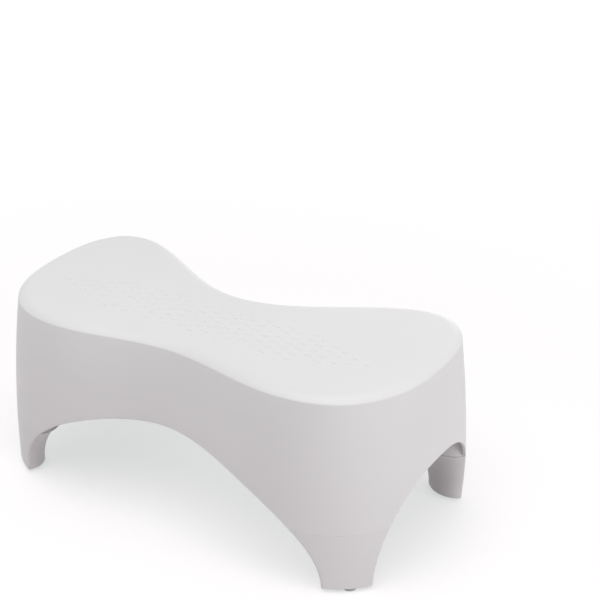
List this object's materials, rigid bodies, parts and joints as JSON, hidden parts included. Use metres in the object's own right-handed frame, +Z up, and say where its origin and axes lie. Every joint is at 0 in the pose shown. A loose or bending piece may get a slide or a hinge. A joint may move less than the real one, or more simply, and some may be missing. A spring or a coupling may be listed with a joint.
{
  "type": "toilet footstool",
  "caption": "Low kidney-shaped moulded footstool with a rolled rim, a deep notch at the back, arched sides and push-in feet with rubber pads.",
  "frame": {"origin": "on the floor, under the middle of the stool's bounding box", "axes": "+X to the stool's right end along its length, +Y to the deep notch at the back, +Z up"},
  "size_m": [0.4746, 0.2438, 0.1976],
  "materials": {
    "white_plastic": "fine matte moulded surface",
    "foot_plastic": "fine matte moulded surface",
    "grey_rubber": "soft matte rubber"
  },
  "bodies": {
    "shell": {"body_shell": "white_plastic"},
    "front_left": {"front_left_foot": "foot_plastic", "front_left_pad": "grey_rubber"},
    "front_right": {"front_right_foot": "foot_plastic", "front_right_pad": "grey_rubber"},
    "rear_left": {"rear_left_foot": "foot_plastic", "rear_left_pad": "grey_rubber"},
    "rear_right": {"rear_right_foot": "foot_plastic", "rear_right_pad": "grey_rubber"}
  },
  "joints": [
    {"name": "front_left_pull", "type": "slide", "parent": "shell", "child": "front_left", "axis": [0, 0, -1], "range_m": [0, 0.02]},
    {"name": "front_right_pull", "type": "slide", "parent": "shell", "child": "front_right", "axis": [0, 0, -1], "range_m": [0, 0.02]},
    {"name": "rear_left_pull", "type": "slide", "parent": "shell", "child": "rear_left", "axis": [0, 0, -1], "range_m": [0, 0.02]},
    {"name": "rear_right_pull", "type": "slide", "parent": "shell", "child": "rear_right", "axis": [0, 0, -1], "range_m": [0, 0.02]}
  ]
}
